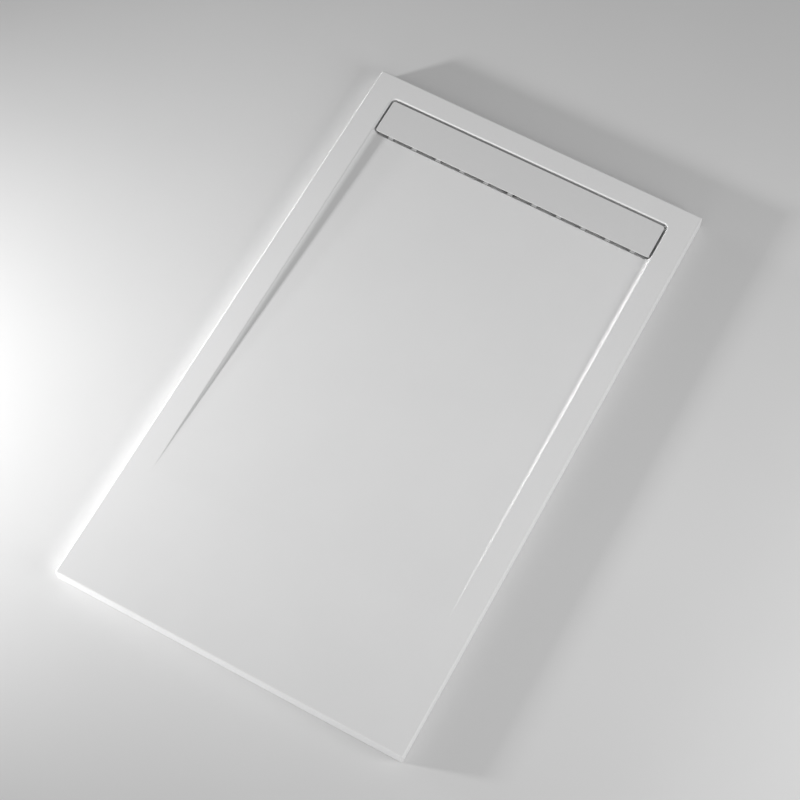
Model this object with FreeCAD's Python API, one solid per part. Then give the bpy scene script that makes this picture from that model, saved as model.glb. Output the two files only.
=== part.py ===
import FreeCAD, Part
import math
import os

# Shower tray, 700 x 1200 x 35 mm, with a lift-off drain cover at its far end
# and a shallow water trap under it.
#
# Frame: millimetres, +Z up. X runs across the tray, +Y runs along it towards
# the drain. The origin is the middle of the slab's flat underside.

# ---------------------------------------------------------------- slab
TRAY_WIDTH = 700.0
TRAY_LENGTH = 1200.0
TRAY_THICKNESS = 35.0
OUTER_TOP_ROUND = 2.5
RIM_ROUND = 3.0               # inner top edge of the rims, all round
OUTER_CORNER_ROUND = 2.0
UNDERSIDE_CHAMFER = 1.0

# ---------------------------------------------------------------- floor
ENTRY_LENGTH = 250.0          # flat strip at the open end, level with the rims
FLOOR_DROP = 9.4              # depth of the floor where it meets the recess
STEP_FOOT_ROUND = 9.0         # concave round at the foot of each side step
STEP_STATIONS = 12            # sections along each side step
STEP_RELIEF = 0.01            # apex of the steps' top round above the rim, so that it crosses the rim cleanly
LIP_ROUND = 2.0               # round of the floor's edge at the recess

# ---------------------------------------------------------------- recess
RECESS_WIDTH = 600.0
RECESS_LENGTH = 82.0
FAR_RIM = 46.5                # rim between the recess and the far edge
RECESS_CORNER = 10.0
LEDGE_DEPTH = 18.0            # top of the slab to the ledge that carries the cover
LEDGE_WIDTH = 11.0
SUMP_CORNER = 8.0
SUMP_END_DEPTH = 20.0         # top of the slab to the sump's bottom at its ends
SUMP_MIDDLE_DEPTH = 22.0      # the same beside the waste

# ---------------------------------------------------------------- cover
COVER_GAP_SIDE = 4.5
COVER_GAP_FRONT = 0.5         # plate's front edge to the recess's front, seen from above
COVER_GAP_REAR = 5.5
COVER_SINK = 0.3              # cover's top below the rims
COVER_PLATE = 5.0
COVER_SKIRT = 6.0
COVER_EDGE_ROUND = 0.5
COVER_LIP = 0.8               # thickness of the plate's front edge, which is cut back underneath
COVER_OVERHANG = 6.0          # from that edge to the tabs' uprights
SLOT_PITCH = 52.5
SLOT_TAB = 10.3               # width of the tabs between the slots
TAB_UPRIGHT = 4.0
TAB_GAP = 0.4                 # tabs' feet to the recess's front
TAB_SINK = 0.3                # tops of the tabs' feet below the floor's edge
PAD_THICKNESS = 1.5
PAD_LENGTH = 9.0
PAD_MARGIN = 1.2              # pad edge to the skirt's faces

# ---------------------------------------------------------------- waste
WASTE_HOLE_R = 26.0
SEAT_R = 35.0
WASTE_SINK = 0.3              # trim ring's top below the sump's bottom
FLANGE_R = 34.0
FLANGE_WASHER_THICKNESS = 1.2
INSERT_FLANGE = 1.4
INSERT_TAIL_R = 23.9
INSERT_BORE_R = 22.0
INSERT_LEDGE_R = 20.2
INSERT_LEDGE = 5.0
RING_THICKNESS = 0.8
RING_LIP = 0.6                # trim ring's turned-down edge
RING_PLAY = 0.1
STRAINER_RIM_R = 25.6
STRAINER_CUP_R = 20.8
STRAINER_CUP_DEPTH = 13.0
STRAINER_WALL = 1.2
STRAINER_HOLE_R = 1.9
STRAINER_RINGS = ((8.0, 8), (14.0, 14))     # radius of each ring of holes, and how many
STRAINER_SLITS = 12
STRAINER_SLIT_WIDTH = 2.4
STRAINER_SLIT_MARGIN = 3.5    # slit's ends to the cup's floor and rim
STRAINER_KNOB_R = 3.2
STRAINER_KNOB_RISE = 4.0
STRAINER_KNOB_ROUND = 1.0
SEAT_PLAY = 0.4               # between pieces that lift apart
OVERCUT = 1.0                 # how far a cutter goes past what it opens

# ---------------------------------------------------------------- trap
TRAP_WASHER_THICKNESS = 2.0
COLLAR_R = 33.0
COLLAR_FLANGE = 3.0
COLLAR_LENGTH = 14.0
NECK_R = 28.5
THREAD_PLAY = 0.05
WELD_PLAY = 0.05
TRAP_SHELL_R = 48.0
TRAP_WALL = 3.0
SHELL_TOP_DROP = 8.0          # collar's top to the shell's top
SHELL_HEIGHT = 54.0
LID_THICKNESS = 4.0
LID_CHAMFER = 3.0
BASE_SEAL_THICKNESS = 1.0
BASE_THICKNESS = 3.0
BASE_SPIGOT = 5.0
WEIR_R = 32.0
WEIR_WALL = 2.4
WEIR_HEIGHT = 27.0
DIP_TUBE_R = 19.6
DIP_TUBE_WALL = 1.8
DIP_TUBE_CLEARANCE = 6.0      # tube's end to the base
DIP_COLLAR_R = 21.6
DIP_COLLAR = 2.6
DIP_SEAL = 1.5
DIP_BAR = 3.0

# ---------------------------------------------------------------- outlet
PIPE_SOCKET_R = 20.2
PIPE_STOP_R = 18.6
SOCKET_WALL = 3.6
OUTLET_DROP = 29.0            # shell's top to the outlet's axis
OUTLET_LENGTH = 27.0
NUT_THREAD_PLAY = 0.3
NUT_WALL = 3.2
NUT_LENGTH = 19.0
NUT_LIP = 3.0
NUT_RIBS = 16
NUT_RIB_R = 1.3
NUT_BORE_PLAY = 0.4
NUT_EDGE = 1.0                # chamfer of the nut's ends
NUT_RIB_MARGIN = 2.0          # ribs' ends to the nut's ends
OUTLET_SEAL = 4.0
SEAL_LIP = 1.0                # full-width part of the seal
SEAL_TIP = 1.6                # its wall where it meets the slip ring
SLIP_RING = 1.5

# ---------------------------------------------------------------- worked out
TOP = TRAY_THICKNESS
HALF_W = TRAY_WIDTH / 2
HALF_L = TRAY_LENGTH / 2
RECESS_HALF = RECESS_WIDTH / 2
RECESS_REAR = HALF_L - FAR_RIM
RECESS_FRONT = RECESS_REAR - RECESS_LENGTH
WASTE_Y = (RECESS_REAR + RECESS_FRONT) / 2
FLOOR_START = -HALF_L + ENTRY_LENGTH
FLOOR_RUN = RECESS_FRONT - FLOOR_START
STEP_TOP_X = RECESS_HALF + RIM_ROUND
LEDGE_Z = TOP - LEDGE_DEPTH
SEAT_Z = TOP - SUMP_MIDDLE_DEPTH - WASTE_SINK - RING_THICKNESS - INSERT_FLANGE - FLANGE_WASHER_THICKNESS

COVER_TOP = TOP - COVER_SINK
PLATE_UNDER = COVER_TOP - COVER_PLATE
COVER_HALF = RECESS_HALF - COVER_GAP_SIDE
COVER_FRONT = RECESS_FRONT + COVER_GAP_FRONT
COVER_REAR = RECESS_REAR - COVER_GAP_REAR
COVER_CORNER = RECESS_CORNER - COVER_GAP_SIDE
PAD_TOP = LEDGE_Z + PAD_THICKNESS
COVER_INNER_HALF = COVER_HALF - COVER_SKIRT
TAB_FRONT = RECESS_FRONT + TAB_GAP
TAB_TOP = TOP - FLOOR_DROP - TAB_SINK
UPRIGHT_FRONT = COVER_FRONT + COVER_OVERHANG
COVER_INNER_FRONT = UPRIGHT_FRONT + TAB_UPRIGHT
COVER_INNER_REAR = COVER_REAR - COVER_SKIRT
LAST_TAB = math.floor((COVER_INNER_HALF - SLOT_TAB) / SLOT_PITCH)    # tabs on each side of the middle one

INSERT_FLANGE_Z = SEAT_Z + FLANGE_WASHER_THICKNESS
INSERT_TOP = INSERT_FLANGE_Z + INSERT_FLANGE
INSERT_FLANGE_R = FLANGE_R - RING_LIP - RING_PLAY
RING_TOP = INSERT_TOP + RING_THICKNESS
COLLAR_TOP = -TRAP_WASHER_THICKNESS
COLLAR_END = COLLAR_TOP - COLLAR_LENGTH
COLLAR_BORE_R = INSERT_TAIL_R + THREAD_PLAY
SHELL_TOP = COLLAR_TOP - SHELL_TOP_DROP
SHELL_END = SHELL_TOP - SHELL_HEIGHT
BASE_TOP = SHELL_END - BASE_SEAL_THICKNESS
BASE_END = BASE_TOP - BASE_THICKNESS
SHELL_BORE_R = TRAP_SHELL_R - TRAP_WALL
LID_END = SHELL_TOP - LID_THICKNESS
LEDGE_TOP = COLLAR_END + INSERT_LEDGE
DIP_END = BASE_TOP + DIP_TUBE_CLEARANCE
OUTLET_Z = SHELL_TOP - OUTLET_DROP
OUTLET_ROOT = WASTE_Y - TRAP_SHELL_R
OUTLET_MOUTH = OUTLET_ROOT - OUTLET_LENGTH
SPIGOT_R = PIPE_SOCKET_R + SOCKET_WALL

UP = FreeCAD.Vector(0, 0, 1)
ALONG = FreeCAD.Vector(0, 1, 0)


def vec(x, y, z):
    return FreeCAD.Vector(x, y, z)


def box(x0, y0, z0, x1, y1, z1):
    return Part.makeBox(x1 - x0, y1 - y0, z1 - z0, vec(x0, y0, z0))


def rounded_wire(half_x, y0, y1, z, r):
    """Outline of a rectangle centred on X = 0 with rounded corners."""
    k = r * (1 - math.sqrt(0.5))
    edges = []
    edges.append(Part.makeLine(vec(-half_x + r, y0, z), vec(half_x - r, y0, z)))
    edges.append(Part.Arc(vec(half_x - r, y0, z), vec(half_x - k, y0 + k, z), vec(half_x, y0 + r, z)).toShape())
    edges.append(Part.makeLine(vec(half_x, y0 + r, z), vec(half_x, y1 - r, z)))
    edges.append(Part.Arc(vec(half_x, y1 - r, z), vec(half_x - k, y1 - k, z), vec(half_x - r, y1, z)).toShape())
    edges.append(Part.makeLine(vec(half_x - r, y1, z), vec(-half_x + r, y1, z)))
    edges.append(Part.Arc(vec(-half_x + r, y1, z), vec(-half_x + k, y1 - k, z), vec(-half_x, y1 - r, z)).toShape())
    edges.append(Part.makeLine(vec(-half_x, y1 - r, z), vec(-half_x, y0 + r, z)))
    edges.append(Part.Arc(vec(-half_x, y0 + r, z), vec(-half_x + k, y0 + k, z), vec(-half_x + r, y0, z)).toShape())
    return Part.Wire(edges)


def rounded_block(half_x, y0, y1, z0, z1, r):
    return Part.Face(rounded_wire(half_x, y0, y1, z0, r)).extrude(vec(0, 0, z1 - z0))


def turned(profile):
    """Solid of revolution about the waste's vertical axis, from (radius, z) points."""
    points = [vec(r, WASTE_Y, z) for r, z in profile]
    face = Part.Face(Part.makePolygon(points + [points[0]]))
    return face.revolve(vec(0, WASTE_Y, 0), UP, 360)


def turned_outlet(profile):
    """Solid of revolution about the outlet's axis, from (radius, y) points."""
    points = [vec(r, y, OUTLET_Z) for r, y in profile]
    face = Part.Face(Part.makePolygon(points + [points[0]]))
    return face.revolve(vec(0, 0, OUTLET_Z), ALONG, 360)


def ring(r_in, r_out, z0, z1):
    return turned([(r_in, z0), (r_out, z0), (r_out, z1), (r_in, z1)])


def rod(r, z0, z1):
    return Part.makeCylinder(r, z1 - z0, vec(0, WASTE_Y, z0), UP)


def edges_at(shape, z, tolerance=0.01):
    """Edges that lie flat at height z."""
    return [e for e in shape.Edges if abs(e.BoundBox.ZMin - z) < tolerance and abs(e.BoundBox.ZMax - z) < tolerance]


# ---------------------------------------------------------------- tray body
def step_section(y):
    """Section of the space above the floor at y: two S-shaped steps, foot to foot."""
    floor_z = TOP - FLOOR_DROP * (y - FLOOR_START) / FLOOR_RUN
    apex_z = TOP + STEP_RELIEF
    head = TOP + FLOOR_DROP
    r_top = RIM_ROUND
    r_foot = STEP_FOOT_ROUND
    turn = math.acos(1 - (apex_z - floor_z) / (r_top + r_foot))
    # the right-hand step, from its top edge down to its foot
    top_x = STEP_TOP_X
    bend_x = top_x - r_top * math.sin(turn)
    bend_z = apex_z - r_top * (1 - math.cos(turn))
    top_mid_x = top_x - r_top * math.sin(turn / 2)
    top_mid_z = apex_z - r_top * (1 - math.cos(turn / 2))
    foot_x = top_x - (r_top + r_foot) * math.sin(turn)
    foot_mid_x = foot_x + r_foot * math.sin(turn / 2)
    foot_mid_z = floor_z + r_foot * (1 - math.cos(turn / 2))
    edges = []
    edges.append(Part.makeLine(vec(-top_x, y, head), vec(top_x, y, head)))
    edges.append(Part.makeLine(vec(top_x, y, head), vec(top_x, y, apex_z)))
    edges.append(Part.Arc(vec(top_x, y, apex_z), vec(top_mid_x, y, top_mid_z), vec(bend_x, y, bend_z)).toShape())
    edges.append(Part.Arc(vec(bend_x, y, bend_z), vec(foot_mid_x, y, foot_mid_z), vec(foot_x, y, floor_z)).toShape())
    edges.append(Part.makeLine(vec(foot_x, y, floor_z), vec(-foot_x, y, floor_z)))
    edges.append(Part.Arc(vec(-foot_x, y, floor_z), vec(-foot_mid_x, y, foot_mid_z), vec(-bend_x, y, bend_z)).toShape())
    edges.append(Part.Arc(vec(-bend_x, y, bend_z), vec(-top_mid_x, y, top_mid_z), vec(-top_x, y, apex_z)).toShape())
    edges.append(Part.makeLine(vec(-top_x, y, apex_z), vec(-top_x, y, head)))
    return Part.Wire(edges)


def floor_space():
    """Space between the side steps. It starts just above the rim, and sections crowd towards that thin end."""
    start = FLOOR_START - STEP_RELIEF / 2 * FLOOR_RUN / FLOOR_DROP
    reach = RECESS_FRONT + RECESS_CORNER - start
    stations = [start + reach * (i / STEP_STATIONS) ** 2 for i in range(STEP_STATIONS + 1)]
    return Part.makeLoft([step_section(y) for y in stations], True, True)


def lip_space():
    """What the round on the floor's edge takes away, as a bar along the recess's front."""
    z = TOP - FLOOR_DROP
    y = RECESS_FRONT
    r = LIP_ROUND
    x = RECESS_HALF - RECESS_CORNER
    k = r * (1 - math.sqrt(0.5))
    edges = []
    edges.append(Part.Arc(vec(-x, y - r, z), vec(-x, y - k, z - k), vec(-x, y, z - r)).toShape())
    edges.append(Part.makeLine(vec(-x, y, z - r), vec(-x, y + r, z - r)))
    edges.append(Part.makeLine(vec(-x, y + r, z - r), vec(-x, y + r, z + r)))
    edges.append(Part.makeLine(vec(-x, y + r, z + r), vec(-x, y - r, z + r)))
    edges.append(Part.makeLine(vec(-x, y - r, z + r), vec(-x, y - r, z)))
    return Part.Face(Part.Wire(edges)).extrude(vec(2 * x, 0, 0))


def sump_space():
    """Channel under the cover: its bottom falls from both ends to the waste."""
    half = RECESS_HALF - LEDGE_WIDTH
    y0 = RECESS_FRONT + LEDGE_WIDTH
    y1 = RECESS_REAR - LEDGE_WIDTH
    end_z = TOP - SUMP_END_DEPTH
    mid_z = TOP - SUMP_MIDDLE_DEPTH
    head = LEDGE_Z + OVERCUT
    channel = rounded_block(half, y0, y1, mid_z, head, SUMP_CORNER)
    points = [vec(-half, y0, end_z), vec(-SEAT_R, y0, mid_z), vec(SEAT_R, y0, mid_z), vec(half, y0, end_z)]
    points += [vec(half, y0, head), vec(-half, y0, head)]
    fall = Part.Face(Part.makePolygon(points + [points[0]])).extrude(vec(0, y1 - y0, 0))
    return channel.common(fall)


def recess_mouth(slab):
    """Edges round the recess's mouth, level with the rims."""
    margin = OVERCUT / 10
    edges = [e for e in edges_at(slab, TOP) if abs(e.BoundBox.Center.x) <= RECESS_HALF + margin]
    return [e for e in edges if RECESS_FRONT - margin <= e.BoundBox.YMin and e.BoundBox.YMax <= RECESS_REAR + margin]


def make_tray_body():
    slab = box(-HALF_W, -HALF_L, 0, HALF_W, HALF_L, TOP)
    corners = [e for e in slab.Edges if e.BoundBox.ZLength > TOP / 2]
    slab = slab.makeFillet(OUTER_CORNER_ROUND, corners)
    slab = slab.makeFillet(OUTER_TOP_ROUND, edges_at(slab, TOP))
    slab = slab.makeChamfer(UNDERSIDE_CHAMFER, edges_at(slab, 0))
    slab = slab.cut(rounded_block(RECESS_HALF, RECESS_FRONT, RECESS_REAR, LEDGE_Z, TOP + OVERCUT, RECESS_CORNER))
    slab = slab.makeFillet(RIM_ROUND, recess_mouth(slab))
    slab = slab.cut(floor_space())
    slab = slab.cut(lip_space())
    slab = slab.cut(sump_space())
    slab = slab.cut(rod(SEAT_R, SEAT_Z, LEDGE_Z + OVERCUT))
    return slab.cut(rod(WASTE_HOLE_R, -OVERCUT, SEAT_Z + OVERCUT))


# ---------------------------------------------------------------- cover
def front_undercut():
    """Space under the plate's front edge, where the water goes in."""
    low = PAD_TOP - OVERCUT
    lip = COVER_TOP - COVER_LIP
    reach = COVER_FRONT - OVERCUT
    corners = [(reach, low), (UPRIGHT_FRONT, low), (UPRIGHT_FRONT, PLATE_UNDER), (COVER_FRONT, lip), (reach, lip)]
    points = [vec(-COVER_HALF - OVERCUT, y, z) for y, z in corners]
    return Part.Face(Part.makePolygon(points + [points[0]])).extrude(vec(2 * (COVER_HALF + OVERCUT), 0, 0))


def make_drain_cover():
    """Plate on a skirt. Along the front, tabs with feet level with the floor divide the skirt into slots."""
    cover = rounded_block(COVER_HALF, COVER_FRONT, COVER_REAR, PAD_TOP, COVER_TOP, COVER_CORNER)
    cover = cover.makeFillet(COVER_EDGE_ROUND, edges_at(cover, COVER_TOP))
    half = COVER_INNER_HALF
    low = PAD_TOP - OVERCUT
    spaces = [front_undercut(), box(-half, COVER_INNER_FRONT, low, half, COVER_INNER_REAR, PLATE_UNDER)]
    for i in range(-LAST_TAB - 1, LAST_TAB + 1):
        x0 = max(i * SLOT_PITCH + SLOT_TAB / 2, -half)
        x1 = min((i + 1) * SLOT_PITCH - SLOT_TAB / 2, half)
        spaces.append(box(x0, UPRIGHT_FRONT - OVERCUT, low, x1, COVER_INNER_FRONT + OVERCUT, PLATE_UNDER))
    feet = []
    for i in range(-LAST_TAB, LAST_TAB + 1):
        x = i * SLOT_PITCH
        foot_end = UPRIGHT_FRONT + TAB_UPRIGHT / 2
        feet.append(box(x - SLOT_TAB / 2, TAB_FRONT, PAD_TOP, x + SLOT_TAB / 2, foot_end, TAB_TOP))
    return cover.cut(spaces).fuse(feet).removeSplitter()


def make_cover_pads():
    """Pads under the feet of the outermost tabs and half-way to them, and opposite them under the rear skirt."""
    pads = []
    for tab in (-LAST_TAB, -(LAST_TAB // 2), LAST_TAB // 2, LAST_TAB):
        x = tab * SLOT_PITCH
        for y0, y1 in ((TAB_FRONT, COVER_INNER_FRONT), (COVER_INNER_REAR, COVER_REAR)):
            low_corner = (x - PAD_LENGTH / 2, y0 + PAD_MARGIN, LEDGE_Z)
            pads.append(box(*low_corner, x + PAD_LENGTH / 2, y1 - PAD_MARGIN, PAD_TOP))
    return Part.makeCompound(pads)


# ---------------------------------------------------------------- waste
def make_flange_washer():
    return ring(INSERT_TAIL_R + SEAT_PLAY, INSERT_FLANGE_R, SEAT_Z, INSERT_FLANGE_Z)


def make_waste_insert():
    bore = INSERT_BORE_R
    profile = [(bore, INSERT_TOP), (INSERT_FLANGE_R, INSERT_TOP)]
    profile += [(INSERT_FLANGE_R, INSERT_FLANGE_Z), (INSERT_TAIL_R, INSERT_FLANGE_Z)]
    profile += [(INSERT_TAIL_R, COLLAR_END), (INSERT_LEDGE_R, COLLAR_END)]
    profile += [(INSERT_LEDGE_R, LEDGE_TOP), (bore, LEDGE_TOP)]
    return turned(profile)


def make_flange_ring():
    """Trim ring: lies on the insert's flange and turns down round its edge."""
    lip_r = FLANGE_R - RING_LIP
    profile = [(STRAINER_RIM_R + SEAT_PLAY, INSERT_TOP), (lip_r, INSERT_TOP)]
    profile += [(lip_r, INSERT_FLANGE_Z), (FLANGE_R, INSERT_FLANGE_Z)]
    profile += [(FLANGE_R, RING_TOP), (STRAINER_RIM_R + SEAT_PLAY, RING_TOP)]
    trim = turned(profile)
    outer = [e for e in edges_at(trim, RING_TOP) if e.BoundBox.XMax > FLANGE_R - 0.1]
    return trim.makeFillet(RING_LIP * 0.8, outer)


def make_hair_strainer():
    r = STRAINER_CUP_R
    wall = STRAINER_WALL
    cup_end = INSERT_TOP - STRAINER_CUP_DEPTH
    profile = [(0, cup_end), (r, cup_end), (r, INSERT_TOP), (STRAINER_RIM_R, INSERT_TOP)]
    profile += [(STRAINER_RIM_R, RING_TOP), (r - wall, RING_TOP), (r - wall, cup_end + wall)]
    profile += [(STRAINER_KNOB_R, cup_end + wall), (STRAINER_KNOB_R, RING_TOP + STRAINER_KNOB_RISE)]
    profile += [(0, RING_TOP + STRAINER_KNOB_RISE)]
    basket = turned(profile)
    knob_top = edges_at(basket, RING_TOP + STRAINER_KNOB_RISE)
    basket = basket.makeFillet(STRAINER_KNOB_ROUND, knob_top)
    holes = []
    for ring_r, count in STRAINER_RINGS:
        for i in range(count):
            angle = 2 * math.pi * i / count
            foot = vec(ring_r * math.cos(angle), WASTE_Y + ring_r * math.sin(angle), cup_end - OVERCUT)
            holes.append(Part.makeCylinder(STRAINER_HOLE_R, wall + 2 * OVERCUT, foot, UP))
    y0 = WASTE_Y - STRAINER_SLIT_WIDTH / 2
    y1 = WASTE_Y + STRAINER_SLIT_WIDTH / 2
    for i in range(STRAINER_SLITS):
        low_corner = (r - wall - OVERCUT, y0, cup_end + STRAINER_SLIT_MARGIN)
        slit = box(*low_corner, r + OVERCUT, y1, INSERT_TOP - STRAINER_SLIT_MARGIN)
        slit.rotate(vec(0, WASTE_Y, 0), UP, 360 * i / STRAINER_SLITS)
        holes.append(slit)
    return basket.cut(holes)


# ---------------------------------------------------------------- trap
def make_trap_washer():
    return ring(INSERT_TAIL_R + SEAT_PLAY, COLLAR_R, COLLAR_TOP, 0)


def make_trap_lid():
    """Top of the trap: a threaded neck with a flange under the slab, and a plate that closes the housing."""
    r = TRAP_SHELL_R
    flange_end = COLLAR_TOP - COLLAR_FLANGE
    profile = [(COLLAR_BORE_R, COLLAR_TOP), (COLLAR_R, COLLAR_TOP), (COLLAR_R, flange_end), (NECK_R, flange_end)]
    profile += [(NECK_R, SHELL_TOP), (r - LID_CHAMFER, SHELL_TOP), (r, SHELL_TOP - LID_CHAMFER), (r, LID_END)]
    profile += [(NECK_R, LID_END), (NECK_R, COLLAR_END), (COLLAR_BORE_R, COLLAR_END)]
    return turned(profile)


def make_trap_body():
    """Wall of the housing, with a round opening for the outlet spigot."""
    wall = ring(SHELL_BORE_R, TRAP_SHELL_R, SHELL_END, LID_END)
    opening = Part.makeCylinder(SPIGOT_R + WELD_PLAY, TRAP_SHELL_R, vec(0, OUTLET_ROOT - OVERCUT, OUTLET_Z), ALONG)
    return wall.cut(opening)


def make_outlet_spigot():
    """Socket for the waste pipe. It ends flush with the inside of the housing's wall."""
    mouth = vec(0, OUTLET_MOUTH, OUTLET_Z)
    length = OUTLET_LENGTH + TRAP_SHELL_R / 2
    spigot = Part.makeCylinder(SPIGOT_R, length, mouth, ALONG)
    spigot = spigot.cut(Part.makeCylinder(PIPE_SOCKET_R, OUTLET_LENGTH, mouth, ALONG))
    spigot = spigot.cut(Part.makeCylinder(PIPE_STOP_R, length, mouth, ALONG))
    return spigot.cut(rod(SHELL_BORE_R, SHELL_END, LID_END))


def make_base_seal():
    return ring(SHELL_BORE_R, TRAP_SHELL_R, BASE_TOP, SHELL_END)


def make_trap_base():
    spigot_r = SHELL_BORE_R - THREAD_PLAY
    profile = [(0, BASE_END), (TRAP_SHELL_R, BASE_END), (TRAP_SHELL_R, BASE_TOP), (spigot_r, BASE_TOP)]
    profile += [(spigot_r, BASE_TOP + BASE_SPIGOT), (spigot_r - TRAP_WALL, BASE_TOP + BASE_SPIGOT)]
    profile += [(spigot_r - TRAP_WALL, BASE_TOP), (0, BASE_TOP)]
    return turned(profile)


def make_weir_ring():
    return ring(WEIR_R - WEIR_WALL, WEIR_R, BASE_TOP, BASE_TOP + WEIR_HEIGHT)


def make_dip_tube():
    r = DIP_TUBE_R
    bore = r - DIP_TUBE_WALL
    seal_top = LEDGE_TOP + DIP_SEAL
    profile = [(bore, DIP_END), (r, DIP_END), (r, seal_top), (DIP_COLLAR_R, seal_top)]
    profile += [(DIP_COLLAR_R, seal_top + DIP_COLLAR), (bore, seal_top + DIP_COLLAR)]
    tube = turned(profile)
    reach = bore + DIP_TUBE_WALL / 2
    bar = box(-reach, WASTE_Y - DIP_BAR / 2, seal_top - DIP_BAR, reach, WASTE_Y + DIP_BAR / 2, seal_top)
    return tube.fuse(bar).removeSplitter()


def make_dip_tube_seal():
    return ring(DIP_TUBE_R, DIP_COLLAR_R, LEDGE_TOP, LEDGE_TOP + DIP_SEAL)


# ---------------------------------------------------------------- outlet
def make_outlet_seal():
    """Tapered ring: wide at the spigot's mouth, narrow towards the nut."""
    y0 = OUTLET_MOUTH
    y1 = OUTLET_MOUTH - OUTLET_SEAL
    profile = [(PIPE_SOCKET_R, y0), (SPIGOT_R, y0), (SPIGOT_R, y0 - SEAL_LIP)]
    return turned_outlet(profile + [(PIPE_SOCKET_R + SEAL_TIP, y1), (PIPE_SOCKET_R, y1)])


def make_outlet_slip_ring():
    y0 = OUTLET_MOUTH - OUTLET_SEAL
    y1 = y0 - SLIP_RING
    return turned_outlet([(PIPE_SOCKET_R, y0), (SPIGOT_R, y0), (SPIGOT_R, y1), (PIPE_SOCKET_R, y1)])


def make_outlet_nut():
    inner = SPIGOT_R + NUT_THREAD_PLAY
    outer = inner + NUT_WALL
    lip_in = PIPE_SOCKET_R + NUT_BORE_PLAY
    lip_y = OUTLET_MOUTH - OUTLET_SEAL - SLIP_RING
    y0 = lip_y - NUT_LIP
    y1 = lip_y + NUT_LENGTH
    profile = [(inner, y1), (outer - NUT_EDGE, y1), (outer, y1 - NUT_EDGE), (outer, y0 + NUT_EDGE)]
    profile += [(outer - NUT_EDGE, y0), (lip_in, y0), (lip_in, lip_y), (inner, lip_y)]
    nut = turned_outlet(profile)
    ribs = []
    for i in range(NUT_RIBS):
        angle = 2 * math.pi * i / NUT_RIBS
        foot = vec(outer * math.cos(angle), y0 + NUT_RIB_MARGIN, OUTLET_Z + outer * math.sin(angle))
        ribs.append(Part.makeCylinder(NUT_RIB_R, y1 - y0 - 2 * NUT_RIB_MARGIN, foot, ALONG))
    return nut.fuse(ribs).removeSplitter()


MAKERS = {
    "tray_body": make_tray_body,
    "drain_cover": make_drain_cover,
    "cover_pads": make_cover_pads,
    "hair_strainer": make_hair_strainer,
    "flange_ring": make_flange_ring,
    "waste_insert": make_waste_insert,
    "flange_washer": make_flange_washer,
    "trap_washer": make_trap_washer,
    "trap_lid": make_trap_lid,
    "trap_body": make_trap_body,
    "outlet_spigot": make_outlet_spigot,
    "base_seal": make_base_seal,
    "trap_base": make_trap_base,
    "weir_ring": make_weir_ring,
    "dip_tube": make_dip_tube,
    "dip_tube_seal": make_dip_tube_seal,
    "outlet_seal": make_outlet_seal,
    "outlet_slip_ring": make_outlet_slip_ring,
    "outlet_nut": make_outlet_nut,
}

os.makedirs("parts", exist_ok=True)
for name, maker in MAKERS.items():
    shape = maker()
    shape.exportStep("parts/" + name + ".step")
    print(name, "valid", shape.isValid(), "solids", len(shape.Solids), "volume", round(shape.Volume, 1))
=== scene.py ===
import math

import bpy
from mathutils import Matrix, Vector


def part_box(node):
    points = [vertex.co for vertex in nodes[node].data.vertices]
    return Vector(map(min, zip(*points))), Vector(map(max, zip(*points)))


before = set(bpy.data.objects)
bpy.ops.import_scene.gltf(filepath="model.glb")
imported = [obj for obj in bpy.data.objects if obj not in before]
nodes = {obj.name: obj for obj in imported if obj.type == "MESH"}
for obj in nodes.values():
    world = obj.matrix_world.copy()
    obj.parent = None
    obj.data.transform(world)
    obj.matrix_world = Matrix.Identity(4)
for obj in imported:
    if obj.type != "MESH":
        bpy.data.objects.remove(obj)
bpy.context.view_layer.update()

# ---------------------------------------------------------------- sizes, metres
TRAY_LOW, TRAY_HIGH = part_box("tray_body")
FLOOR_REACH = 14.0          # half the side of the floor
FLOOR_INSET = 0.012         # the floor goes this far under the tray, and is open inside that

# ---------------------------------------------------------------- tones
FLOOR_DARK = (0.722, 0.722, 0.722)
FLOOR_LIGHT = (0.737, 0.737, 0.737)
TRAY_WHITE = (0.80, 0.80, 0.80)
COVER_WHITE = (0.728, 0.728, 0.728)
COVER_PAINTED_SHADE_TONE = 0.72       # painted shade: how dark the cover is drawn in the shaded gap under its plate
COVER_PAINTED_SHADE_HEIGHT = 0.031    # height below which the cover gets that painted shade
PAINTED_SHADE_BLEND = 0.001           # the painted shade fades in this far above and below that height
CLOUD_SPREAD = 0.012        # how far the resin's clouds leave its colour

# ---------------------------------------------------------------- view and light
WORLD_STRENGTH = 0.35
CAMERA_PLACE = (0.77382, -1.38319, 3.44755)
CAMERA_TURN = 28.670        # degrees, seen from above
CAMERA_DROP = 65.434        # degrees below level
CAMERA_LENS = 91.92         # millimetres, on a sensor of SENSOR_WIDTH
SENSOR_WIDTH = 36.0


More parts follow.
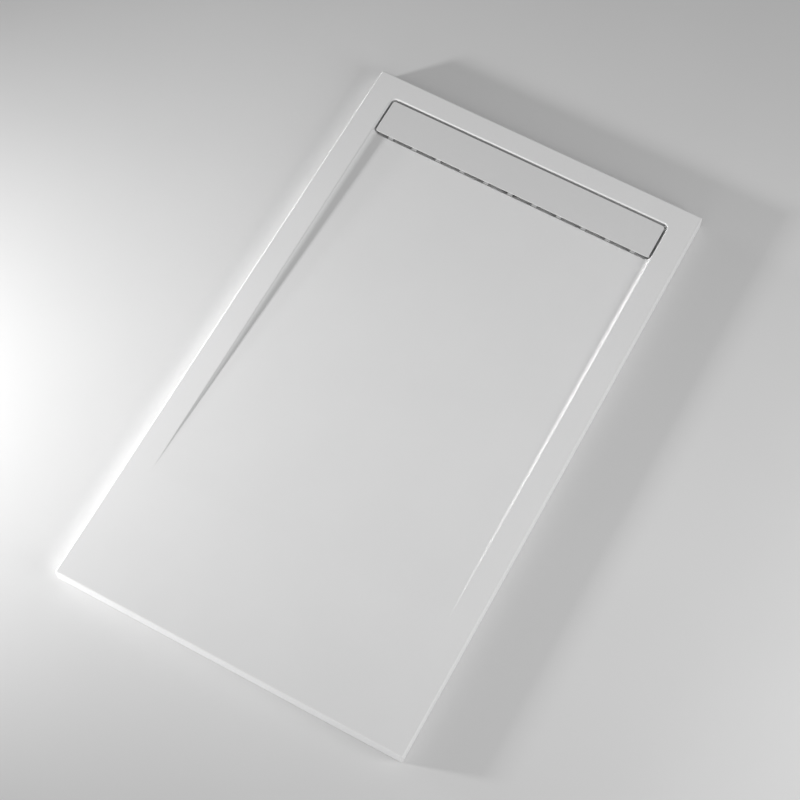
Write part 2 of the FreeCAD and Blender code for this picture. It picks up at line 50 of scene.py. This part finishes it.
# ---------------------------------------------------------------- material tools
class Maker:
    """One node material around a Principled shader."""

    def __init__(self, name, roughness=0.5, specular=0.5):
        self.material = bpy.data.materials.new(name)
        self.material.use_nodes = True
        self.tree = self.material.node_tree
        self.shader = self.tree.nodes["Principled BSDF"]
        self.shader.inputs["Roughness"].default_value = roughness
        self.shader.inputs["Specular IOR Level"].default_value = specular
        self.place = self.add("ShaderNodeTexCoord").outputs["Object"]

    def add(self, kind, **settings):
        node = self.tree.nodes.new(kind)
        for key, value in settings.items():
            setattr(node, key, value)
        return node

    def link(self, source, target):
        self.tree.links.new(source, target)

    def stretched(self, scale):
        """Object coordinates with their own scale on each axis."""
        mapping = self.add("ShaderNodeMapping")
        mapping.inputs["Scale"].default_value = scale
        self.link(self.place, mapping.inputs["Vector"])
        return mapping.outputs["Vector"]

    def noise(self, scale, detail=3.0, roughness=0.5, place=None):
        node = self.add("ShaderNodeTexNoise")
        node.inputs["Scale"].default_value = scale
        node.inputs["Detail"].default_value = detail
        node.inputs["Roughness"].default_value = roughness
        self.link(place or self.place, node.inputs["Vector"])
        return node.outputs["Fac"]

    def ramp(self, factor, stops):
        node = self.add("ShaderNodeValToRGB")
        elements = node.color_ramp.elements
        while len(elements) < len(stops):
            elements.new(0.5)
        for element, (position, colour) in zip(elements, stops):
            element.position = position
            element.color = (*colour, 1.0)
        self.link(factor, node.inputs["Fac"])
        return node.outputs["Color"]

    def spread(self, factor, low, high, start=0.3, end=0.7):
        """A factor's start to end, mapped to low to high."""
        node = self.add("ShaderNodeMapRange")
        for key, value in (("From Min", start), ("From Max", end), ("To Min", low), ("To Max", high)):
            node.inputs[key].default_value = value
        self.link(factor, node.inputs["Value"])
        return node.outputs["Result"]

    def total(self, parts):
        """Sum of factors, each with its own weight."""
        whole = None
        for factor, weight in parts:
            node = self.add("ShaderNodeMath", operation="MULTIPLY_ADD")
            self.link(factor, node.inputs[0])
            node.inputs[1].default_value = weight
            if whole is not None:
                self.link(whole, node.inputs[2])
            else:
                node.inputs[2].default_value = 0.0
            whole = node.outputs[0]
        return whole

    def colour(self, source):
        self.link(source, self.shader.inputs["Base Color"])

    def roughness(self, source):
        self.link(source, self.shader.inputs["Roughness"])

    def bump(self, height, distance, strength=1.0):
        node = self.add("ShaderNodeBump")
        node.inputs["Strength"].default_value = strength
        node.inputs["Distance"].default_value = distance
        self.link(height, node.inputs["Height"])
        self.link(node.outputs["Normal"], self.shader.inputs["Normal"])


def around(colour, spread):
    """A little darker and a little lighter than a colour."""
    return tuple(c * (1 - spread) for c in colour), tuple(min(c * (1 + spread), 0.95) for c in colour)


def resin(name, colour, painted_shade_tone=1.0, painted_shade_height=0.0):
    """Gel-coated mineral resin: satin, nearly even, with faint clouds and a fine cast skin. Below
    painted_shade_height the colour is darkened by painted_shade_tone: painted shade for the shaded
    gap under the cover plate."""
    m = Maker(name, specular=0.5)
    cloud = m.noise(7.0, detail=4.0, roughness=0.55)
    fleck = m.noise(420.0, detail=2.0)
    dark, light = around(colour, CLOUD_SPREAD)
    clouded = m.ramp(m.total([(cloud, 0.8), (fleck, 0.2)]), [(0.3, dark), (0.7, light)])
    height = m.add("ShaderNodeSeparateXYZ")
    m.link(m.place, height.inputs[0])
    # painted shade: the colour is darker below a height, in place of the shade under the cover plate
    shade = m.spread(height.outputs["Z"], painted_shade_tone, 1.0, painted_shade_height - PAINTED_SHADE_BLEND, painted_shade_height + PAINTED_SHADE_BLEND)
    toned = m.add("ShaderNodeVectorMath", operation="SCALE")
    m.link(clouded, toned.inputs[0])
    m.link(shade, toned.inputs["Scale"])
    m.colour(toned.outputs[0])
    m.roughness(m.spread(m.noise(38.0, detail=3.0), 0.36, 0.44))
    skin = m.noise(900.0, detail=2.0, roughness=0.6)
    wave = m.noise(16.0, detail=2.0)
    m.bump(m.total([(skin, 0.04), (wave, 0.5)]), 0.0002, 0.6)
    return m.material


def moulded(name, colour, rough=0.4, grain=700.0):
    """Injection-moulded plastic: fine grain and soft tone changes."""
    m = Maker(name, specular=0.5)
    dark, light = around(colour, 0.03)
    m.colour(m.ramp(m.noise(30.0, detail=4.0), [(0.3, dark), (0.7, light)]))
    m.roughness(m.spread(m.noise(90.0), rough - 0.05, rough + 0.06))
    m.bump(m.noise(grain, detail=2.0), 0.00006, 0.7)
    return m.material


def rubber(name, colour, rough=0.72):
    m = Maker(name, specular=0.35)
    dark, light = around(colour, 0.12)
    m.colour(m.ramp(m.noise(160.0, detail=4.0), [(0.3, dark), (0.7, light)]))
    m.roughness(m.spread(m.noise(60.0), rough - 0.08, rough + 0.08))
    m.bump(m.noise(1500.0, detail=2.0), 0.0001, 0.6)
    return m.material


def brushed(name, colour):
    """Stainless steel turned on a lathe: fine rings about the waste's axis."""
    m = Maker(name)
    m.shader.inputs["Metallic"].default_value = 1.0
    centre = (cad_mid("flange_ring").x, cad_mid("flange_ring").y)
    shift = m.add("ShaderNodeVectorMath", operation="SUBTRACT")
    shift.inputs[1].default_value = (centre[0], centre[1], 0.0)
    m.link(m.place, shift.inputs[0])
    flat = m.add("ShaderNodeVectorMath", operation="MULTIPLY")
    flat.inputs[1].default_value = (1.0, 1.0, 0.0)
    m.link(shift.outputs[0], flat.inputs[0])
    radius = m.add("ShaderNodeVectorMath", operation="LENGTH")
    m.link(flat.outputs[0], radius.inputs[0])
    rings = m.add("ShaderNodeTexNoise", noise_dimensions="1D")
    rings.inputs["Scale"].default_value = 6000.0
    rings.inputs["Detail"].default_value = 3.0
    m.link(radius.outputs["Value"], rings.inputs["W"])
    dark, light = around(colour, 0.06)
    m.colour(m.ramp(rings.outputs["Fac"], [(0.3, dark), (0.7, light)]))
    m.roughness(m.spread(rings.outputs["Fac"], 0.22, 0.36))
    m.bump(rings.outputs["Fac"], 0.00003, 0.5)
    return m.material


def cad_mid(node):
    low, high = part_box(node)
    return (low + high) / 2


def dress(material, *names):
    for name in names:
        mesh = nodes[name].data
        mesh.materials.clear()
        mesh.materials.append(material)


# ---------------------------------------------------------------- materials
dress(resin("tray_resin", TRAY_WHITE), "tray_body")
# the cover's lower parts (tabs, skirt) carry painted shade for the gap under its plate
dress(resin("cover_resin", COVER_WHITE, COVER_PAINTED_SHADE_TONE, COVER_PAINTED_SHADE_HEIGHT), "drain_cover")
dress(rubber("pad_rubber", (0.30, 0.30, 0.31)), "cover_pads")
dress(moulded("strainer_plastic", (0.55, 0.56, 0.57), 0.35), "hair_strainer")
dress(brushed("trim_steel", (0.62, 0.61, 0.60)), "flange_ring")
dress(moulded("insert_plastic", (0.78, 0.78, 0.77), 0.38), "waste_insert")
dress(moulded("trap_plastic", (0.80, 0.80, 0.79), 0.42), "trap_lid", "trap_body", "trap_base")
dress(moulded("spigot_plastic", (0.80, 0.80, 0.79), 0.40), "outlet_spigot")
dress(moulded("weir_plastic", (0.79, 0.79, 0.78), 0.44), "weir_ring")
dress(moulded("tube_plastic", (0.35, 0.36, 0.38), 0.45), "dip_tube")
dress(moulded("nut_plastic", (0.76, 0.76, 0.75), 0.4), "outlet_nut")
dress(moulded("ring_plastic", (0.70, 0.70, 0.69), 0.45), "outlet_slip_ring")
SEALS = ("flange_washer", "trap_washer", "base_seal", "dip_tube_seal", "outlet_seal")
dress(rubber("seal_rubber", (0.03, 0.03, 0.032)), *SEALS)


# ---------------------------------------------------------------- floor
def make_floor():
    """Plain floor, open under the tray where the trap hangs."""
    x0, y0 = TRAY_LOW.x + FLOOR_INSET, TRAY_LOW.y + FLOOR_INSET
    x1, y1 = TRAY_HIGH.x - FLOOR_INSET, TRAY_HIGH.y - FLOOR_INSET
    r = FLOOR_REACH
    outer = [(-r, -r, 0), (r, -r, 0), (r, r, 0), (-r, r, 0)]
    inner = [(x0, y0, 0), (x1, y0, 0), (x1, y1, 0), (x0, y1, 0)]
    faces = [(i, (i + 1) % 4, 4 + (i + 1) % 4, 4 + i) for i in range(4)]
    mesh = bpy.data.meshes.new("studio_floor")
    mesh.from_pydata(outer + inner, [], faces)
    floor = bpy.data.objects.new("studio_floor", mesh)
    bpy.context.scene.collection.objects.link(floor)
    m = Maker("floor_paint", roughness=0.6, specular=0.3)
    m.colour(m.ramp(m.noise(3.0, detail=4.0), [(0.3, FLOOR_DARK), (0.7, FLOOR_LIGHT)]))
    m.bump(m.noise(300.0, detail=2.0), 0.0002, 0.3)
    mesh.materials.append(m.material)


make_floor()


# ---------------------------------------------------------------- light
def lamp(name, place, aim, width, height, power, spread=180.0):
    data = bpy.data.lights.new(name, "AREA")
    data.shape = "RECTANGLE"
    data.size = width
    data.size_y = height
    data.energy = power
    data.spread = math.radians(spread)
    lamp_object = bpy.data.objects.new(name, data)
    bpy.context.scene.collection.objects.link(lamp_object)
    lamp_object.location = place
    direction = Vector(aim) - Vector(place)
    lamp_object.rotation_euler = direction.to_track_quat("-Z", "Y").to_euler()


KEY_PLACE = Vector((-2.1, -1.35, 0.585))
KEY_AIM = math.radians(36.0)       # its beam's direction, from +X towards +Y
KEY_DROP = math.radians(24.0)      # and down
level = math.cos(KEY_DROP)
beam = Vector((math.cos(KEY_AIM) * level, math.sin(KEY_AIM) * level, -math.sin(KEY_DROP)))
lamp("key_low_left", KEY_PLACE, KEY_PLACE + beam, 0.30, 0.20, 11.3, spread=60.0)
lamp("low_left_strip", (-2.5, 0.1, 0.27), (0.3, 0.1, 0.06), 1.6, 0.10, 0.5, spread=14.0)
lamp("soft_right", (2.2, -0.1, 1.1), (0.35, 0.0, 0.0), 1.2, 1.2, 14.4, spread=140.0)
lamp("soft_near", (0.6, -2.6, 0.7), (0.1, -0.6, 0.0), 1.4, 0.8, 4.8, spread=140.0)

world = bpy.data.worlds.new("studio_world")
bpy.context.scene.world = world
world.use_nodes = True
background = world.node_tree.nodes["Background"]
background.inputs["Color"].default_value = (1.0, 1.0, 1.0, 1.0)
background.inputs["Strength"].default_value = WORLD_STRENGTH

# ---------------------------------------------------------------- camera
camera_data = bpy.data.cameras.new("camera")
camera_data.sensor_width = SENSOR_WIDTH
camera_data.lens = CAMERA_LENS
camera = bpy.data.objects.new("camera", camera_data)
bpy.context.scene.collection.objects.link(camera)
camera.location = CAMERA_PLACE
camera.rotation_euler = (math.radians(90.0 - CAMERA_DROP), 0.0, math.radians(CAMERA_TURN))
bpy.context.scene.camera = camera

bpy.context.scene.view_settings.view_transform = "Standard"
